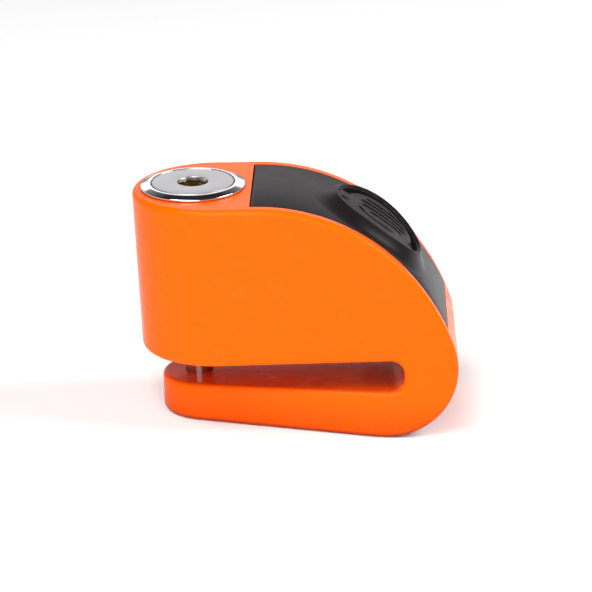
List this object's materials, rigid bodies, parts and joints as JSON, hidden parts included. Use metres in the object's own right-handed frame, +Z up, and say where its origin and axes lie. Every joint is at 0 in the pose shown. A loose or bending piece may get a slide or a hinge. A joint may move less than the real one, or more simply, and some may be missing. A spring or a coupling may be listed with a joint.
{
  "type": "disc brake lock",
  "caption": "Motorcycle brake disc lock: slotted cast body, push-down keyed cylinder whose pin crosses the slot, and an alarm module with a grille under a trim strip.",
  "frame": {"origin": "middle of the object's box, on the surface it stands on", "axes": "+X from the cylinder end towards the alarm end, +Z up, the flat bottom face down; the lock axis leans 1.8 degrees from +Z towards -X"},
  "size_m": [0.071, 0.035, 0.0525],
  "materials": {
    "orange_paint": "glossy orange paint on cast zinc",
    "chrome": "bright chrome plate",
    "satin_steel": "satin steel, finely turned",
    "hard_steel": "ground hardened steel",
    "spring_steel": "drawn spring wire",
    "brass": "machined brass",
    "black_plastic": "semi-matte black moulding",
    "tub_plastic": "matte black moulding",
    "rubber": "matte black rubber",
    "board": "green solder mask on glass fibre",
    "component_black": "moulded black epoxy",
    "wire_red": "red insulation",
    "cell_steel": "nickel plated can",
    "membrane": "thin black membrane",
    "reed_glass": "clear glass tube"
  },
  "bodies": {
    "casing": {"body_casting": "orange_paint", "bezel_ring": "chrome", "bore_seal": "rubber", "guide_dowel": "hard_steel", "trim_cover": "black_plastic", "cover_gasket": "rubber", "module_tub": "tub_plastic", "sounder_ring": "tub_plastic", "sounder_membrane": "membrane", "piezo_disc": "brass", "piezo_leads": "wire_red", "circuit_board": "board", "controller_chip": "component_black", "board_capacitors": "component_black", "vibration_sensor": "cell_steel", "switch_board": "board", "reed_switch": "reed_glass", "button_cells": "cell_steel", "positive_contact": "spring_steel", "negative_contact": "spring_steel", "tub_inserts": "brass", "module_screws": "hard_steel", "return_spring": "spring_steel"},
    "cylinder": {"lock_barrel": "hard_steel", "face_cap": "satin_steel", "locking_pin": "hard_steel", "pin_dowel": "hard_steel", "arming_magnet": "cell_steel", "latch_spring": "spring_steel"},
    "core": {"key_core": "brass", "front_plate": "brass", "detainer_discs": "brass", "disc_spacers": "hard_steel", "sidebar": "hard_steel"},
    "latch": {"latch_bolt": "hard_steel"}
  },
  "joints": [
    {"name": "cylinder_slide", "type": "slide", "parent": "casing", "child": "cylinder", "axis": [-0.0314, 0, 0.9995], "range_m": [0, 0.0093], "deforming": ["return_spring"]},
    {"name": "key_turn", "type": "hinge", "parent": "cylinder", "child": "core", "pos_m": [-0.02215, 0, 0.04308], "axis": [-0.0314, 0, 0.9995], "range_deg": [0, 90]},
    {"name": "latch_throw", "type": "slide", "parent": "cylinder", "child": "latch", "axis": [0, 1, 0], "range_m": [0, 0.0022], "deforming": ["latch_spring"]}
  ],
  "couplings": [
    {"joint": "latch_throw", "follows": "key_turn", "m_per_rad": 0.0014}
  ]
}
